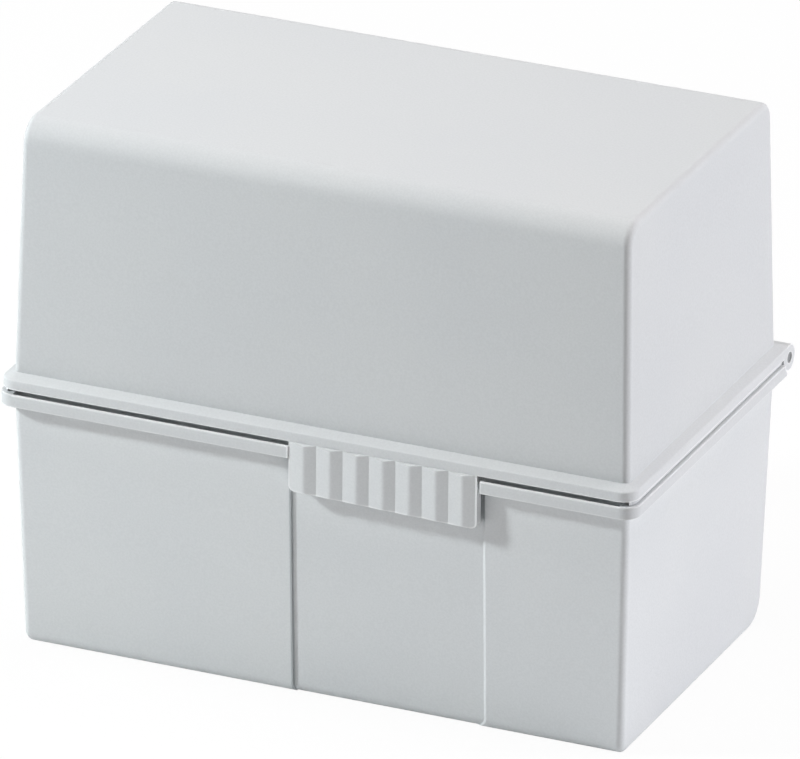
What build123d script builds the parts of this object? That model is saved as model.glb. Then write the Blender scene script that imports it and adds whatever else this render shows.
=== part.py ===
from build123d import *

import os
from math import cos, hypot, radians, sin, tan

# Index card box for landscape A7 cards: a tray and a hinged lid, both moulded
# in polystyrene, two steel hinge pins and a ribbed snap tab on the lid's front.
# Millimetres. +X is to the right, the front faces -Y, +Z is up.

# Walls
wall_width = 117.6  # outside the side walls, at the rims
wall_depth = 67.5  # outside the front and back walls, at the rims
box_height = 100.0
split_height = 49.65  # level of the hinge axis and of the gap between the rims
wall = 1.6
floor = 1.8
lid_top = 1.7
side_draft = 1.34  # degrees
front_draft = 2.1
lid_back_draft = 1.6
tray_back_draft = 2.4
front_top_radius = 4.5  # lid, along the front of its top
back_top_radius = 3.2
front_bottom_radius = 2.4  # tray, along the front of its bottom
back_bottom_radius = 5.5
corner_radius = 1.3  # round the outlines of the side walls
foot_trim = 0.3  # taken off level under the tray's rounded bottom
inner_radius = 1.0  # the least radius inside
foot_rim = 3.0  # width of the flat rim that the tray stands on
foot_recess = 0.5  # depth of the underside within that rim
foot_corner = 2.0

# Rim flanges
rim_gap = 0.9  # between the two flanges
lid_overhang = 2.05  # in front and behind
lid_side_overhang = 1.85
lid_flange_height = 1.8
flange_rise = 0.8  # of the lid's flange from its edge up to the wall
slope_bite = 0.3  # of that slope into the wall
tray_overhang = 2.25
tray_side_overhang = 2.2
tray_flange_height = 2.35
flange_corner = 3.0  # radius of the front corners, seen from above
lid_edge_radius = 0.3
tray_edge_radius = 0.15
groove_rim = 0.4  # left in front of the groove in the tray's front flange
groove_depth = 1.0
lip_clearance = 0.05  # between the lips under the lid's sides and the tray
lip_inset = 0.45
lip_wall = 0.85

# Tongue on the tray's rim that centres the lid
tongue_inset = 0.8  # from the outside of the walls
tongue_height = 2.0
tongue_clearance = 0.3
tongue_back_gap = 5.0  # from the back wall to the ends of the tongue

# Snap tab and the flat channel below it
latch_center = 13.27  # the tab stands off the middle, to the right
tab_width = 35.85
tab_left_drop = 9.4  # the foot of the tab slants
tab_right_drop = 10.2
tab_wall = 1.75
tab_corner = 1.1
rib_count = 7
rib_left_margin = 0.25  # plain strips beside the row of ribs
rib_right_margin = 0.36
rib_rise = 0.65  # before the crests are rounded
rib_lean = 0.62  # how much wider a rib's left flank is than its right one
rib_crest_radius = 1.4
rib_end_slope = 22.0  # degrees, at both ends of the ribs
flange_left_gap = 0.1  # between the tab and the ends of the tray's flange
flange_right_gap = 0.6
channel_side_gap = 0.62
channel_depth = 0.4
channel_left_flank = 0.08  # widths of the steps at its two sides
channel_right_flank = 0.6
bead_radius = 0.5
bead_height = 0.25
bead_below_flange = 6.5
catch_height = 0.5
catch_above_bead = 1.7
catch_end_gap = 4.0

# Hinge
hinge_offset = 1.85  # from the back wall at the rim to the hinge axis
flange_back_gap = 1.7  # from the ends of the tray's flange to the hinge axis
barrel_radius = 2.45
pin_radius = 1.0
pin_running_clearance = 0.05
pin_press = 0.01
pin_end_gap = 0.15
end_knuckle = 12.0  # lid, at each end
tray_knuckle = 12.0
inner_knuckle = 9.0  # lid, towards the middle
knuckle_gap = 0.4
barrel_clearance = 0.35
notch_depth = 0.3  # of the lid's notches, into its back wall
notch_margin = 0.4  # of those notches, above the flange
open_angle = 105.0
stop_clearance = 0.1
stop_reach = 2.25  # of the tray's back ledge behind the hinge axis

# Levels and places worked out from the sizes above
tray_rim = split_height - rim_gap / 2
lid_rim = split_height + rim_gap / 2
front_wall = -wall_depth / 2
back_wall = wall_depth / 2
lid_front = front_wall - lid_overhang
tray_front = front_wall - tray_overhang
lid_side = wall_width / 2 + lid_side_overhang
tray_side = wall_width / 2 + tray_side_overhang
slope_inset = lid_overhang + slope_bite
slope_rise = flange_rise * slope_inset / lid_overhang
slope_top = lid_rim + lid_flange_height + slope_rise
lip_drop = rim_gap - lip_clearance
hinge_y = back_wall + hinge_offset
clear_radius = barrel_radius + barrel_clearance
tab_left = latch_center - tab_width / 2
tab_right = latch_center + tab_width / 2
tab_length = max(tab_left_drop, tab_right_drop)
tab_back = lid_front + tab_wall
channel_width = tab_width + 2 * channel_side_gap
channel_face = front_wall + channel_depth
bead_level = lid_rim - bead_below_flange
catch_level = bead_level + catch_above_bead
reach = 2 * (wall_width + wall_depth + box_height)  # longer than the whole box
same_place = 0.01  # two levels this close are the same one
upright_slope = 0.9  # rise of an edge that counts as upright

# Drafts of the side, front and back walls
lid_drafts = (side_draft, front_draft, lid_back_draft)
tray_drafts = (side_draft, front_draft, tray_back_draft)

# One rib: its pitch, the widths and slopes of its flanks, its height with the crest rounded
rib_pitch = (tab_width - rib_left_margin - rib_right_margin) / rib_count
left_flank = (rib_pitch + rib_lean) / 2
right_flank = (rib_pitch - rib_lean) / 2
left_slope = rib_rise / left_flank
right_slope = rib_rise / right_flank
crest_shift = (hypot(1, left_slope) - hypot(1, right_slope)) / (left_slope + right_slope)
crest_loss = rib_crest_radius * (hypot(1, left_slope) - 1 - crest_shift * left_slope)
rib_height = rib_rise - crest_loss

# Stretches of the hinge along X on the right, mirrored on the left
end_span = (lid_side - end_knuckle, lid_side)
tray_span = (end_span[0] - knuckle_gap - tray_knuckle, end_span[0] - knuckle_gap)
inner_span = (tray_span[0] - knuckle_gap - inner_knuckle, tray_span[0] - knuckle_gap)
ledge_half = inner_span[0] - knuckle_gap

# The origin is the middle of the box's footprint, on the surface it stands on
front_reach = max(-tray_front, -lid_front + rib_height)
back_reach = hinge_y + max(barrel_radius, stop_reach)
to_origin = Location((0, (front_reach - back_reach) / 2, 0))


def slab(x, y, z):
    """Box between the given pairs of limits."""
    size = (x[1] - x[0], y[1] - y[0], z[1] - z[0])
    middle = ((x[0] + x[1]) / 2, (y[0] + y[1]) / 2, (z[0] + z[1]) / 2)
    return Pos(*middle) * Box(*size)


def lean(draft, height):
    """How far a wall with this draft leans in over a height."""
    return height * tan(radians(draft))


def drafted_block(inset, rim, wide_level, narrow_level, drafts):
    """Block inset from the walls' outside at the rim, leaning in towards its narrow end."""

    towards = 1 if narrow_level > rim else -1

    def sides(level):
        side, front, back = (inset + lean(draft, (level - rim) * towards) for draft in drafts)
        return (wall_width / 2 - side, front_wall + front, back_wall - back)

    wide, narrow = sides(wide_level), sides(narrow_level)
    across = Polygon(
        (-wide[0], wide_level),
        (wide[0], wide_level),
        (narrow[0], narrow_level),
        (-narrow[0], narrow_level),
        align=None,
    )
    along = Polygon(
        (wide[1], wide_level),
        (wide[2], wide_level),
        (narrow[2], narrow_level),
        (narrow[1], narrow_level),
        align=None,
    )
    return extrude(Plane.XZ * across, reach, both=True) & extrude(Plane.YZ * along, reach, both=True)


def rounded_block(block, narrow_level, front_radius, back_radius, side_radius):
    """Rounds the front and back of a block's narrow end, and then the outlines of its sides."""

    def at_end(edge):
        return abs(edge.center().Z - narrow_level) < same_place

    for place, radius in ((0, front_radius), (-1, back_radius)):
        end_edges = block.edges().filter_by(Axis.X).filter_by(at_end).sort_by(Axis.Y)
        block = fillet(end_edges[place], radius)
    sides = block.faces().sort_by(Axis.X)
    outlines = sides[0].edges() + sides[-1].edges()
    rim_edges = outlines.filter_by(Axis.Y).sort_by(lambda edge: abs(edge.center().Z - narrow_level))[-2:]
    return fillet([edge for edge in outlines if edge not in rim_edges], side_radius)


def inside_radius(radius):
    """Radius inside a rounded edge of the walls."""
    return max(radius - wall, inner_radius)


def upright_edges(shape):
    return shape.edges().filter_by(lambda edge: abs(edge.tangent_at(0.5).Z) > upright_slope)


def rim_outline(half_width, front, back, corner):
    """Outline of a rim seen from above, with rounded front corners, square at the back."""
    outline = Polygon(
        (-half_width, front),
        (half_width, front),
        (half_width, back),
        (-half_width, back),
        align=None,
    )
    return fillet(outline.vertices().sort_by(Axis.Y)[:2], corner)


def along_hinge(span, radius):
    """Cylinder on the hinge axis over one stretch of it."""
    place = Location(((span[0] + span[1]) / 2, hinge_y, split_height), (0, 90, 0))
    return place * Cylinder(radius, span[1] - span[0])


def both_ends(make, span, *values):
    """The same feature on a stretch of the hinge at the right and at the left."""
    return make(span, *values) + make((-span[1], -span[0]), *values)


def widened(span, margin):
    return (span[0] - margin, span[1] + margin)


def channel_zone():
    """Space of the channel: steep at the left, sloped at the right, following the wall's draft."""
    left = latch_center - channel_width / 2
    right = latch_center + channel_width / 2
    steep = channel_left_flank / channel_depth
    sloped = channel_right_flank / channel_depth
    outside = wall_depth / 4
    inside = channel_width / 4
    outline = Polygon(
        (left - outside * steep, front_wall - outside),
        (right + outside * sloped, front_wall - outside),
        (right - inside * sloped, front_wall + inside),
        (left + inside * steep, front_wall + inside),
        align=None,
    )
    angle = radians(front_draft)
    low = -box_height / 10
    start = Pos(0, lean(front_draft, tray_rim - low), low)
    return extrude(start * outline, box_height, dir=(0, -sin(angle), cos(angle)))


def tongue_block(clearance):
    """Inside of the rim with its tongue, along the front and the sides."""
    inset = tongue_inset - clearance
    return slab(
        (-wall_width / 2 + inset, wall_width / 2 - inset),
        (front_wall + inset, back_wall - tongue_back_gap + clearance),
        (tray_rim - tray_flange_height / 2, tray_rim + tongue_height + clearance),
    )


def make_tray_walls():
    """Drafted outer block, trimmed level at the foot and set back over the width of the channel."""
    block = rounded_block(
        drafted_block(0, tray_rim, tray_rim, -foot_trim, tray_drafts),
        -foot_trim,
        front_bottom_radius,
        back_bottom_radius,
        corner_radius,
    )
    block &= slab((-reach, reach), (-reach, reach), (0, reach))
    zone = channel_zone()
    return (block - zone) + (Pos(0, channel_depth, 0) * block & zone)


def make_tray_cavity():
    top = tray_rim + tongue_height
    return rounded_block(
        drafted_block(wall, tray_rim, top, floor, tray_drafts),
        floor,
        inside_radius(front_bottom_radius),
        inside_radius(back_bottom_radius),
        inner_radius,
    )


def make_tray_flange():
    """Rim flange of the tray, grooved along its front and open in front of the latch."""
    back = hinge_y - flange_back_gap
    outline = rim_outline(tray_side, tray_front, back, flange_corner)
    plate = extrude(Pos(0, 0, tray_rim - tray_flange_height) * outline, tray_flange_height)
    for end in (0, -1):
        face = plate.faces().sort_by(Axis.Z)[end]
        outer = face.edges().filter_by(lambda edge: edge.center().Y < back - same_place)
        plate = fillet(outer, tray_edge_radius)
    groove = slab(
        (flange_corner - tray_side, tray_side - flange_corner),
        (tray_front + groove_rim, front_wall),
        (tray_rim - groove_depth, reach),
    )
    opening = slab(
        (tab_left - flange_left_gap, tab_right + flange_right_gap),
        (-reach, channel_face),
        (0, reach),
    )
    return plate - groove - opening


def tray_web(span):
    """Web that carries one of the tray's knuckles."""
    return slab(
        span,
        (hinge_y - clear_radius, hinge_y),
        (tray_rim - tray_flange_height, tray_rim),
    )


def make_ledge():
    """Back ledge that the opened lid comes to rest on."""
    ledge = slab(
        (-ledge_half, ledge_half),
        (hinge_y - clear_radius, hinge_y + stop_reach),
        (tray_rim - tray_flange_height, tray_rim),
    )
    lower_back = ledge.edges().filter_by(Axis.X).sort_by(Axis.Z)[:2].sort_by(Axis.Y)[-1]
    return fillet(lower_back, tray_edge_radius)


def make_catch():
    """Round ridge on the channel that holds the tab's bead down."""
    face = channel_face + lean(front_draft, tray_rim - catch_level)
    place = Location((latch_center, face, catch_level), (0, 90, 0))
    return place * Cylinder(catch_height, tab_width - 2 * catch_end_gap)


def make_foot_recess():
    """Shallow recess under the floor, within the rim that the tray stands on."""
    half_width = wall_width / 2 - lean(side_draft, tray_rim) - corner_radius - foot_rim
    front = front_wall + lean(front_draft, tray_rim) + front_bottom_radius + foot_rim
    back = back_wall - lean(tray_back_draft, tray_rim) - back_bottom_radius - foot_rim
    recess = slab((-half_width, half_width), (front, back), (-foot_recess, foot_recess))
    return fillet(upright_edges(recess), foot_corner)


def make_tray():
    tray = make_tray_walls() + make_tray_flange() + make_ledge() + make_catch()
    tray += both_ends(tray_web, tray_span) + both_ends(along_hinge, tray_span, barrel_radius)
    tray += tongue_block(0)
    tray -= make_tray_cavity()
    for span in (end_span, inner_span):
        tray -= both_ends(along_hinge, widened(span, knuckle_gap), clear_radius)
    tray -= both_ends(along_hinge, widened(tray_span, knuckle_gap), pin_radius - pin_press)
    return tray - make_foot_recess()


def make_lid_flange():
    """Rim flange of the lid, with an upright edge and a top that slopes up to the walls."""
    back = back_wall + lid_overhang
    edge_top = lid_rim + lid_flange_height
    foot = rim_outline(lid_side, lid_front, back, flange_corner)
    head = rim_outline(
        lid_side - slope_inset,
        lid_front + slope_inset,
        back - slope_inset,
        flange_corner - slope_inset,
    )
    flange = extrude(Pos(0, 0, lid_rim) * foot, lid_flange_height)
    flange += loft([Pos(0, 0, edge_top) * foot, Pos(0, 0, slope_top) * head], ruled=True)

    def along_edge(edge):
        at_top = abs(edge.center().Z - edge_top) < same_place
        return at_top and edge.center().Y < back - same_place

    return fillet(flange.edges().filter_by(along_edge), lid_edge_radius)


def make_lip():
    """Lip under the flange along one side and half round its front corner, to close the gap there."""
    outer = lid_side - lip_inset
    outline = rim_outline(outer, lid_front + lip_inset, back_wall, flange_corner - lip_inset)
    plate = extrude(Pos(0, 0, lid_rim - lip_drop) * outline, lip_drop)
    return plate & slab((outer - lip_wall, outer), (-reach, reach), (0, reach))


def lid_notch(span):
    """Room in the lid's flange for one of the tray's knuckles."""
    behind = slab(span, (back_wall - notch_depth, reach), (0, slope_top + notch_margin))
    return behind + along_hinge(span, clear_radius)


def make_stop_cut():
    """Cut that leans the flange's back face so that it meets the ledge flat."""
    rest = rim_gap / 2 - stop_clearance
    angle = radians(open_angle)

    def face_y(z):
        return hinge_y + (rest + cos(angle) * (z - split_height)) / sin(angle)

    low = lid_rim - lid_flange_height
    high = slope_top + lid_flange_height
    outline = Polygon(
        (face_y(low), low),
        (reach, low),
        (reach, high),
        (face_y(high), high),
        align=None,
    )
    return extrude(Plane.YZ * outline, ledge_half + knuckle_gap, both=True)


def make_lid_walls():
    return rounded_block(
        drafted_block(0, lid_rim, lid_rim, box_height, lid_drafts),
        box_height,
        front_top_radius,
        back_top_radius,
        corner_radius,
    )


def make_lid_cavity():
    top = box_height - lid_top
    return rounded_block(
        drafted_block(wall, lid_rim, lid_rim - lip_drop, top, lid_drafts),
        top,
        inside_radius(front_top_radius),
        inside_radius(back_top_radius),
        inner_radius,
    )


def make_lid():
    lid = make_lid_walls() + make_lid_flange() - make_stop_cut()
    lid += make_lip() + mirror(make_lip(), about=Plane.YZ)
    lid -= both_ends(lid_notch, widened(tray_span, knuckle_gap))
    for span in (end_span, inner_span):
        lid += both_ends(along_hinge, span, barrel_radius)
    lid -= make_lid_cavity()
    lid -= tongue_block(tongue_clearance)
    for span in (end_span, inner_span):
        bore = pin_radius + pin_running_clearance
        lid -= both_ends(along_hinge, widened(span, knuckle_gap / 2), bore)
    return lid


def rib_points():
    """Front line of the tab seen from above: valleys and crests in turn."""
    start = tab_left + rib_left_margin
    points = []
    for index in range(rib_count):
        valley = start + index * rib_pitch
        points.append((valley, lid_front))
        points.append((valley + left_flank, lid_front - rib_rise))
    points.append((start + rib_count * rib_pitch, lid_front))
    return points


def make_tab():
    """Ribbed snap tab that hangs from the lid's flange, its ribs sloped off at both ends."""
    outline = Polygon(
        (tab_left, tab_back),
        (tab_left, lid_front),
        *rib_points(),
        (tab_right, lid_front),
        (tab_right, tab_back),
        align=None,
    )
    crests = outline.vertices().filter_by(lambda v: v.Y < lid_front - rib_rise / 2)
    outline = fillet(crests, rib_crest_radius)
    tab = extrude(Pos(0, 0, lid_rim - tab_length) * outline, tab_length)
    front = Polygon(
        (tab_left, lid_rim - tab_left_drop),
        (tab_right, lid_rim - tab_right_drop),
        (tab_right, lid_rim),
        (tab_left, lid_rim),
        align=None,
    )
    front = fillet(front.vertices().sort_by(Axis.Y)[:2], tab_corner)
    place = Plane.XZ.offset(-lid_front)
    envelope = extrude(place * front, -tab_wall)
    envelope += extrude(place * front, rib_rise, taper=rib_end_slope)
    return (tab & envelope) + make_bead()


def make_bead():
    """Round bead inside the tab that snaps under the catch."""
    length = tab_width - 2 * catch_end_gap
    center_y = tab_back + bead_height - bead_radius
    place = Location((latch_center, center_y, bead_level), (0, 90, 0))
    bead = place * Cylinder(bead_radius, length)
    return bead & slab((-reach, reach), (tab_back - bead_height, reach), (0, reach))


def make_pin(span):
    return along_hinge(span, pin_radius)


def make_pins():
    """Two steel pins, one through each group of knuckles."""
    return both_ends(make_pin, (inner_span[0] + pin_end_gap, lid_side - pin_end_gap))


def main():
    os.makedirs("parts", exist_ok=True)
    nodes = {
        "base_tray": make_tray(),
        "lid": make_lid(),
        "latch_tab": make_tab(),
        "hinge_pins": make_pins(),
    }
    for name, shape in nodes.items():
        export_step(to_origin * shape, f"parts/{name}.step")


main()
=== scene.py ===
from math import cos, radians, sin

import bpy
from mathutils import Matrix, Vector


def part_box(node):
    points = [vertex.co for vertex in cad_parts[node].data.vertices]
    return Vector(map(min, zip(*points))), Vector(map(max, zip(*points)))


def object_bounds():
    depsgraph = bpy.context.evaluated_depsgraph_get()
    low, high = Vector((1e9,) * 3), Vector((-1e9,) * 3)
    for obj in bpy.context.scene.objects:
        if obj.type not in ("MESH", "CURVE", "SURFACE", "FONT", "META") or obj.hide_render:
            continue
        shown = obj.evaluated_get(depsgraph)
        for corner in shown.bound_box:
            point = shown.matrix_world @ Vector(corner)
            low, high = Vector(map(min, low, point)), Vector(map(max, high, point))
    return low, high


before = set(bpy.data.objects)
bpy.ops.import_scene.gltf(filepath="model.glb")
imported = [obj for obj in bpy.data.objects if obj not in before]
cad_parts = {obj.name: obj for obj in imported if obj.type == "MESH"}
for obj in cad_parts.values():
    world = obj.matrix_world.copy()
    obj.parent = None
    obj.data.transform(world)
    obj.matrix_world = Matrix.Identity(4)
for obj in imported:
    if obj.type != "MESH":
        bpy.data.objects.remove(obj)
cadLow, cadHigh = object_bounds()
scene = bpy.context.scene
print("frame loaded:", ", ".join(sorted(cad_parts)))


# Small helpers for node trees

def addNode(tree, kind, place, **settings):
    node = tree.nodes.new(kind)
    node.location = place
    for name, value in settings.items():
        setattr(node, name, value)
    return node


def feed(tree, socket, value):  # a socket is linked, a number or colour is set
    if isinstance(value, bpy.types.NodeSocket):
        tree.links.new(value, socket)
    else:
        socket.default_value = value


def feedAll(tree, node, values):
    for label, value in values.items():
        feed(tree, node.inputs[label], value)


def addMath(tree, place, operation, *values):
    node = addNode(tree, "ShaderNodeMath", place, operation=operation)
    for socket, value in zip(node.inputs, values):
        feed(tree, socket, value)
    return node.outputs["Value"]


def addRange(tree, place, value, start, end, low=0.0, high=1.0):  # smooth step between two values
    node = addNode(tree, "ShaderNodeMapRange", place, interpolation_type="SMOOTHSTEP")
    feedAll(tree, node, {"Value": value, "From Min": start, "From Max": end})
    feedAll(tree, node, {"To Min": low, "To Max": high})
    return node.outputs["Result"]


def addTint(tree, place, factor, first, second, blend="MIX"):
    node = addNode(tree, "ShaderNodeMix", place, data_type="RGBA", blend_type=blend)
    feedAll(tree, node, {"Factor": factor, "A": first, "B": second})
    return node.outputs["Result"]


def addNoise(tree, place, vector, scale, detail, roughness):
    node = addNode(tree, "ShaderNodeTexNoise", place)
    feedAll(tree, node, {"Vector": vector, "Scale": scale, "Detail": detail, "Roughness": roughness})
    return node.outputs["Fac"]


def addBump(tree, place, height, depth, strength):
    node = addNode(tree, "ShaderNodeBump", place)
    feedAll(tree, node, {"Height": height, "Distance": depth, "Strength": strength})
    return node.outputs["Normal"]


def addCoords(tree, place):
    return addNode(tree, "ShaderNodeTexCoord", place).outputs


def addAxes(tree, place, vector):
    split = addNode(tree, "ShaderNodeSeparateXYZ", place)
    feed(tree, split.inputs["Vector"], vector)
    return split.outputs


def newGroup(name, inputs, outputs):
    group = bpy.data.node_groups.new(name, "ShaderNodeTree")
    for label, value in inputs.items():
        socket = group.interface.new_socket(label, in_out="INPUT", socket_type="NodeSocketFloat")
        socket.default_value = value
    for label in outputs:
        group.interface.new_socket(label, in_out="OUTPUT", socket_type="NodeSocketFloat")
    inside = addNode(group, "NodeGroupInput", (-1600, 0))
    outside = addNode(group, "NodeGroupOutput", (200, 0))
    return group, inside.outputs, outside.inputs


def placeGroup(tree, group, place, values):
    node = addNode(tree, "ShaderNodeGroup", place, node_tree=group)
    feedAll(tree, node, values)
    return node.outputs


def newMaterial(name):
    material = bpy.data.materials.new(name)
    material.use_nodes = True
    return material, material.node_tree, material.node_tree.nodes["Principled BSDF"]


# Grain of the spark-eroded mould: fine pits, gathered into faint clumps

mouldGrain = {
    "density": 2600.0,
    "clumps": 700.0,
    "clumpShare": 0.35,
    "fineNoise": (2.0, 0.55),  # detail and roughness of the noise
    "clumpNoise": (1.0, 0.5),
    "spots": (0.3, 0.7),
}


def makeGrainGroup():
    sizes = {"Density": mouldGrain["density"], "Clumps": mouldGrain["clumps"]}
    group, given, result = newGroup("mouldGrain", sizes, ("Height", "Spots"))
    position = addCoords(group, (-1200, 200))["Object"]
    fine = addNoise(group, (-900, 200), position, given["Density"], *mouldGrain["fineNoise"])
    coarse = addNoise(group, (-900, -100), position, given["Clumps"], *mouldGrain["clumpNoise"])
    clumped = addMath(group, (-600, -100), "MULTIPLY", coarse, mouldGrain["clumpShare"])
    feed(group, result["Height"], addMath(group, (-400, 100), "ADD", fine, clumped))
    feed(group, result["Spots"], addRange(group, (-400, 300), fine, *mouldGrain["spots"]))
    return group


# Cloudy shade left by the flow of the plastic in the mould

flowCloud = {
    "size": 28.0,
    "noise": (3.0, 0.5),  # detail and roughness
    "contrast": (0.3, 0.7),
}


def makeFlowGroup():
    group, given, result = newGroup("flowCloud", {"Size": flowCloud["size"]}, ("Cloud",))
    position = addCoords(group, (-1200, 0))["Object"]
    cloud = addNoise(group, (-900, 0), position, given["Size"], *flowCloud["noise"])
    feed(group, result["Cloud"], addRange(group, (-500, 0), cloud, *flowCloud["contrast"]))
    return group


# Painted highlight: a pale line along crisp outer edges, not where the tab grows out of the lid

edgeHighlight = {
    "reach": 0.00042,
    "thinness": (0.58, 0.88),  # how open the inside of the edge is, from full line to none
    "seamSide": 0.0003,
    "seamHeight": (0.0003, 0.0005),
    "rays": {"samples": 8, "inside": True, "only_local": True},
}


def makeEdgeGroup():
    places = {"Reach": edgeHighlight["reach"], "Seam Left": 0.0, "Seam Right": 0.0, "Seam Level": 0.0}
    group, given, result = newGroup("edgeHighlight", places, ("Edge",))
    inward = addNode(group, "ShaderNodeAmbientOcclusion", (-1200, 200), **edgeHighlight["rays"])
    feed(group, inward.inputs["Distance"], given["Reach"])
    edge = addRange(group, (-800, 200), inward.outputs["AO"], *edgeHighlight["thinness"], 1.0, 0.0)
    axes = addAxes(group, (-1200, -300), addCoords(group, (-1400, -300))["Object"])
    left = addMath(group, (-1050, -250), "SUBTRACT", given["Seam Left"], axes["X"])
    right = addMath(group, (-1050, -400), "SUBTRACT", axes["X"], given["Seam Right"])
    outward = addMath(group, (-900, -300), "MAXIMUM", left, right)
    beside = addRange(group, (-700, -300), outward, 0.0, edgeHighlight["seamSide"])
    offset = addMath(group, (-1050, -550), "SUBTRACT", axes["Z"], given["Seam Level"])
    offLevel = addMath(group, (-900, -550), "ABSOLUTE", offset)
    away = addRange(group, (-700, -550), offLevel, *edgeHighlight["seamHeight"])
    clear = addMath(group, (-500, -400), "MAXIMUM", beside, away)
    feed(group, result["Edge"], addMath(group, (-200, -100), "MULTIPLY", edge, clear))
    return group


# Smooth band round a rim, between two heights

bandFade = 0.0002


def makeRimGroup():
    group, given, result = newGroup("smoothRim", {"Bottom": 0.0, "Top": 0.0}, ("Rim",))
    z = addAxes(group, (-1000, 0), addCoords(group, (-1200, 0))["Object"])["Z"]
    start = addMath(group, (-800, 200), "SUBTRACT", given["Bottom"], bandFade)
    end = addMath(group, (-800, -200), "ADD", given["Top"], bandFade)
    under = addRange(group, (-500, 200), z, start, given["Bottom"])
    over = addRange(group, (-500, -200), z, given["Top"], end)
    feed(group, result["Rim"], addMath(group, (-200, 0), "SUBTRACT", under, over))
    return group


grainGroup = makeGrainGroup()
flowGroup = makeFlowGroup()
edgeGroup = makeEdgeGroup()
rimGroup = makeRimGroup()
print("effects built")

tabLow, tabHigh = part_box("latch_tab")
rimLevel = tabHigh[2]  # underside of the lid's flange

# Marks on the tray's outer front: a shrink line, and painted shade by the step, under the flange and
# beside the tab

trayFront = {"back": 0.0072, "fade": 0.001, "belowRim": 0.0031, "facing": (-0.15, -0.05)}
sinkMark = {"besideTab": 0.0033, "halfWidth": 0.00035, "depth": 0.35}
# painted shade: a dark line beside the channel's left step
stepShade = {"besideTab": 0.00068, "halfWidth": 0.00045, "depth": 1.0}
# painted shade: darkening where the flange and the tab occlude the front
nookShade = {"reach": 0.006, "samples": 8, "openness": (0.30, 0.92), "down": 0.016, "fade": 0.004}
# colour of the painted shade
shadeTint = (0.50, 0.52, 0.53, 1.0)
frontTop = rimLevel - trayFront["belowRim"]


def addFrontMask(tree, place):
    across, down = place
    coords = addCoords(tree, (across - 600, down))
    axes = addAxes(tree, (across - 400, down), coords["Object"])
    facing = addAxes(tree, (across - 400, down - 200), coords["Normal"])["Y"]
    back = cadLow[1] + trayFront["back"]
    front = addRange(tree, (across - 200, down), axes["Y"], back, back + trayFront["fade"], 1.0, 0.0)
    outside = addRange(tree, (across - 200, down - 150), facing, *trayFront["facing"], 1.0, 0.0)
    start = frontTop - bandFade
    below = addRange(tree, (across - 200, down - 300), axes["Z"], start, frontTop, 1.0, 0.0)
    shown = addMath(tree, (across, down - 100), "MULTIPLY", front, outside)
    return axes, addMath(tree, (across + 200, down), "MULTIPLY", shown, below)


def addFrontLine(tree, place, x, front, line):
    across, down = place
    offset = addMath(tree, (across - 400, down), "SUBTRACT", x, tabLow[0] - line["besideTab"])
    apart = addMath(tree, (across - 200, down), "ABSOLUTE", offset)
    stripe = addRange(tree, place, apart, 0.0, line["halfWidth"], line["depth"], 0.0)
    return addMath(tree, (across + 200, down), "MULTIPLY", stripe, front)


# Painted shade in the corners under the flange and beside the tab, from ambient occlusion
def addNookShade(tree, place, z, front):
    across, down = place
    nook = addNode(tree, "ShaderNodeAmbientOcclusion", (across - 200, down))
    nook.samples = nookShade["samples"]
    nook.inputs["Distance"].default_value = nookShade["reach"]
    occluded = addRange(tree, place, nook.outputs["AO"], *nookShade["openness"], 1.0, 0.0)
    foot = frontTop - nookShade["down"]
    over = addRange(tree, (across, down - 200), z, foot, foot + nookShade["fade"])
    high = addMath(tree, (across + 200, down - 200), "MULTIPLY", over, front)
    return addMath(tree, (across + 400, down), "MULTIPLY", occluded, high)


# Painted shade by the step and in the corners, and the shrink line's dip in the bump
def addFrontMarks(tree, color, height):
    axes, front = addFrontMask(tree, (-1400, 900))
    lineShade = addFrontLine(tree, (-700, 800), axes["X"], front, stepShade)
    cornerShade = addNookShade(tree, (-800, 1100), axes["Z"], front)
    shadeMask = addMath(tree, (-300, 800), "MAXIMUM", lineShade, cornerShade)
    shaded = addTint(tree, (-100, 400), shadeMask, color, shadeTint, blend="MULTIPLY")
    sunk = addFrontLine(tree, (-700, -800), axes["X"], front, sinkMark)
    return shaded, addMath(tree, (-200, -500), "SUBTRACT", height, sunk)


# Grey plastic: what the three mouldings share, then each one's tones, where the tray and the tab are
# set lighter than the lid as painted light

greyPlastic = {
    "cloudTint": (0.975, 0.978, 0.985, 1.0),
    # painted highlight along crisp edges
    "highlightTint": (0.94, 0.95, 0.955, 1.0),
    "highlightShare": 0.9,
    "edgeReach": edgeHighlight["reach"],
    "roughness": (0.70, 0.78),
    "specular": 0.28,
    "bumpDepth": 0.00005,
    "bumpStrength": 0.6,
    "rimBelow": 0.0033,  # smooth rims reach this far below and above the rim level
    "rimAbove": 0.0027,
    "rimGrain": 0.35,
    "rimGloss": 0.88,
    # painted shade on the front and a shrink line, tray only
    "frontShadeAndSink": False,
}
trayLook = {
    # painted light: the tray is set lighter than the lid for the light from below
    "pale": (0.737, 0.755, 0.761, 1.0),
    "deep": (0.705, 0.724, 0.730, 1.0),
    # painted shade: the tray's smooth rim is darker
    "rimLightShade": (0.925, 0.925, 0.925, 1.0),
    # painted shade on the tray's front, and its shrink line
    "frontShadeAndSink": True,
}
lidLook = {
    "pale": (0.675, 0.692, 0.698, 1.0),
    "deep": (0.645, 0.662, 0.668, 1.0),
    # painted light: the lid's smooth rim is lighter
    "rimLightShade": (1.04, 1.04, 1.04, 1.0),
}
tabLook = {
    # painted light: the tab is set a little lighter than the lid
    "pale": (0.700, 0.716, 0.721, 1.0),
    "deep": (0.669, 0.685, 0.690, 1.0),
    "rimLightShade": (1.0, 1.0, 1.0, 1.0),
    "rimBelow": 0.02,  # smooth all over
    "edgeReach": 0.0006,
}


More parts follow.
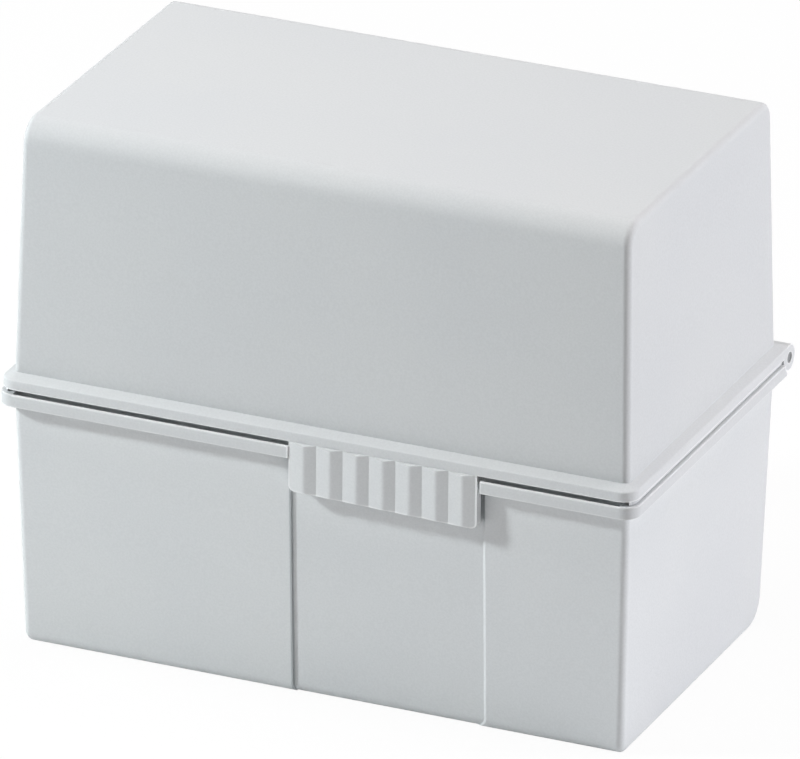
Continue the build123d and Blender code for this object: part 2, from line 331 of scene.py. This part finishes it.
def makeGreyPlastic(name, piece):
    look = dict(greyPlastic, **piece)
    material, tree, shader = newMaterial(name)
    grain = placeGroup(tree, grainGroup, (-1400, 300), {})
    cloud = placeGroup(tree, flowGroup, (-1400, 0), {})["Cloud"]
    seam = {"Seam Left": tabLow[0], "Seam Right": tabHigh[0], "Seam Level": rimLevel}
    edge = placeGroup(tree, edgeGroup, (-1400, -200), dict(seam, Reach=look["edgeReach"]))["Edge"]
    band = {"Bottom": rimLevel - look["rimBelow"], "Top": rimLevel + look["rimAbove"]}
    rim = placeGroup(tree, rimGroup, (-1400, -500), band)["Rim"]

    speckled = addTint(tree, (-900, 400), grain["Spots"], look["deep"], look["pale"])
    # painted light and shade on the smooth rims
    toned = addTint(tree, (-750, 400), rim, speckled, look["rimLightShade"], blend="MULTIPLY")
    clouded = addTint(tree, (-600, 400), cloud, toned, look["cloudTint"], blend="MULTIPLY")
    # painted highlight along crisp edges
    highlightShare = addMath(tree, (-500, 200), "MULTIPLY", edge, look["highlightShare"])
    color = addTint(tree, (-300, 400), highlightShare, clouded, look["highlightTint"])
    coarse = addRange(tree, (-600, -400), rim, 0.0, 1.0, 1.0, look["rimGrain"])
    height = addMath(tree, (-400, -300), "MULTIPLY", grain["Height"], coarse)
    # painted shade on the tray's front, and its shrink line
    if look["frontShadeAndSink"]:
        color, height = addFrontMarks(tree, color, height)

    dull = addRange(tree, (-600, 0), cloud, 0.0, 1.0, *look["roughness"])
    gloss = addRange(tree, (-450, -100), coarse, look["rimGrain"], 1.0, look["rimGloss"], 1.0)
    feed(tree, shader.inputs["Base Color"], color)
    feed(tree, shader.inputs["Roughness"], addMath(tree, (-300, 0), "MULTIPLY", dull, gloss))
    shader.inputs["Specular IOR Level"].default_value = look["specular"]
    bump = addBump(tree, (-100, -300), height, look["bumpDepth"], look["bumpStrength"])
    feed(tree, shader.inputs["Normal"], bump)
    return material


drawnSteel = {
    "bright": (0.84, 0.84, 0.85, 1.0),
    "dark": (0.66, 0.66, 0.67, 1.0),
    # painted shade: the end faces are darkened for the shade in the hinge holes
    "endShade": (0.30, 0.31, 0.32, 1.0),
    "endFacing": (0.8, 0.95),
    "stretch": (40.0, 5000.0, 5000.0),  # lines run along the wire
    "noise": (1.0, 2.0, 0.5),  # scale, detail and roughness
    "lines": (0.3, 0.7),
    "roughness": (0.42, 0.58),
    "bumpDepth": 0.00001,
    "bumpStrength": 1.0,
}


def makeDrawnSteel():
    look = drawnSteel
    material, tree, shader = newMaterial("drawnSteel")
    coords = addCoords(tree, (-1200, 200))
    lay = addNode(tree, "ShaderNodeMapping", (-1000, 0))
    feedAll(tree, lay, {"Vector": coords["Object"], "Scale": look["stretch"]})
    lines = addNoise(tree, (-800, 0), lay.outputs["Vector"], *look["noise"])
    drawn = addTint(tree, (-400, 200), lines, look["dark"], look["bright"])
    facing = addAxes(tree, (-1000, 400), coords["Normal"])["X"]
    along = addMath(tree, (-800, 400), "ABSOLUTE", facing)
    # painted shade on the pin's end faces
    endShadeMask = addRange(tree, (-600, 400), along, *look["endFacing"])
    rough = addRange(tree, (-400, 0), lines, *look["lines"], *look["roughness"])
    feed(tree, shader.inputs["Base Color"], addTint(tree, (-200, 200), endShadeMask, drawn, look["endShade"]))
    feed(tree, shader.inputs["Roughness"], rough)
    shader.inputs["Metallic"].default_value = 1.0
    bump = addBump(tree, (-300, -200), lines, look["bumpDepth"], look["bumpStrength"])
    feed(tree, shader.inputs["Normal"], bump)
    return material


finishes = {
    "base_tray": makeGreyPlastic("greyTray", trayLook),
    "lid": makeGreyPlastic("greyLid", lidLook),
    "latch_tab": makeGreyPlastic("greyTab", tabLook),
    "hinge_pins": makeDrawnSteel(),
}
for name, material in finishes.items():
    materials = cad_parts[name].data.materials
    materials.clear()
    materials.append(material)
print("materials set")

# Floor, white to the camera apart from the box's shadow

floorLook = {
    "size": 6.0,
    "color": (0.90, 0.90, 0.90, 1.0),
    "whiteShare": 0.93,
}


def makeFloorMesh():
    half = floorLook["size"] / 2
    corners = [(-half, -half, 0), (half, -half, 0), (half, half, 0), (-half, half, 0)]
    mesh = bpy.data.meshes.new("floor")
    mesh.from_pydata(corners, [], [(0, 1, 2, 3)])
    return mesh


def makeFloorMaterial():
    material, tree, shader = newMaterial("paleFloor")
    tree.nodes.remove(shader)
    diffuse = addNode(tree, "ShaderNodeBsdfDiffuse", (-300, 100))
    diffuse.inputs["Color"].default_value = floorLook["color"]
    white = addNode(tree, "ShaderNodeEmission", (-300, -100))
    rays = addNode(tree, "ShaderNodeLightPath", (-900, 0)).outputs
    mirrored = addMath(tree, (-700, 0), "MAXIMUM", rays["Is Glossy Ray"], rays["Is Transmission Ray"])
    shown = addMath(tree, (-500, 0), "MAXIMUM", rays["Is Camera Ray"], mirrored)
    share = addMath(tree, (-300, 300), "MULTIPLY", shown, floorLook["whiteShare"])
    mix = addNode(tree, "ShaderNodeMixShader", (0, 0))
    for socket, value in zip(mix.inputs, (share, diffuse.outputs["BSDF"], white.outputs["Emission"])):
        feed(tree, socket, value)
    feed(tree, tree.nodes["Material Output"].inputs["Surface"], mix.outputs["Shader"])
    return material


def makeFloor():
    mesh = makeFloorMesh()
    mesh.materials.append(makeFloorMaterial())
    floor = bpy.data.objects.new("floor", mesh)
    scene.collection.objects.link(floor)


makeFloor()
print("floor laid")

# World: white to the camera, hardly any light on the box

worldLook = {
    "color": (1.0, 1.0, 1.0, 1.0),
    "light": 0.02,
    "shown": 1.0,
}


def makeWorld():
    world = bpy.data.worlds.new("studio")
    scene.world = world
    world.use_nodes = True
    tree = world.node_tree
    background = tree.nodes["Background"]
    background.inputs["Color"].default_value = worldLook["color"]
    rays = addNode(tree, "ShaderNodeLightPath", (-900, 0)).outputs
    shown = addMath(tree, (-700, 0), "MAXIMUM", rays["Is Camera Ray"], rays["Is Transmission Ray"])
    strength = addRange(tree, (-400, 0), shown, 0.0, 1.0, worldLook["light"], worldLook["shown"])
    feed(tree, background.inputs["Strength"], strength)


makeWorld()

# Lamps: degrees round from the front towards the right, degrees up, metres off and across

lamps = {
    "keyLamp": {
        "around": -61, "up": 29.5, "away": 0.75, "size": 0.09,
        "watts": 4.0, "color": (0.93, 0.985, 1.0),
    },
    "leftLamp": {
        "around": -95, "up": 50, "away": 3.0, "size": 1.5,
        "watts": 12.0, "color": (1.0, 0.98, 0.97),
    },
    "topLamp": {
        "around": 100, "up": 85, "away": 1.6, "size": 1.2,
        "watts": 15.7, "color": (1.0, 0.95, 0.94),
    },
    "rightLamp": {
        "around": 115, "up": 15, "away": 1.6, "size": 0.6,
        "watts": 16.4, "color": (0.955, 0.955, 1.0),
    },
}
middle = (cadLow + cadHigh) / 2


def directionOf(around, up):
    a, e = radians(around), radians(up)
    return Vector((sin(a) * cos(e), -cos(a) * cos(e), sin(e)))


def makeLamp(name, place):
    light = bpy.data.lights.new(name, "AREA")
    light.shape = "DISK"
    light.size = place["size"]
    light.energy = place["watts"]
    light.color = place["color"]
    lamp = bpy.data.objects.new(name, light)
    scene.collection.objects.link(lamp)
    back = directionOf(place["around"], place["up"])
    lamp.location = middle + back * place["away"]
    lamp.rotation_euler = (-back).to_track_quat("-Z", "Y").to_euler()


for name, place in lamps.items():
    makeLamp(name, place)
print("stage lit")

# Camera at the photo's angle

view = {
    "around": 23.52,
    "up": 23.63,
    "tilt": 0.454,
    "away": 2.484,
    "lens": 632.3,
    "sensor": 36.0,
    "clip": (0.05, 100.0),
    "aim": (0.00007, 0.00107, 0.04772),
}


def makeCamera():
    data = bpy.data.cameras.new("camera")
    data.lens = view["lens"]
    data.sensor_width = view["sensor"]
    data.clip_start, data.clip_end = view["clip"]
    camera = bpy.data.objects.new("camera", data)
    scene.collection.objects.link(camera)
    back = directionOf(view["around"], view["up"])
    roll = Matrix.Rotation(radians(view["tilt"]), 3, "Z")
    turn = (-back).to_track_quat("-Z", "Y").to_matrix() @ roll
    camera.matrix_world = Matrix.LocRotScale(Vector(view["aim"]) + back * view["away"], turn, None)
    scene.camera = camera


makeCamera()
scene.view_settings.view_transform = "Standard"
print("camera set")
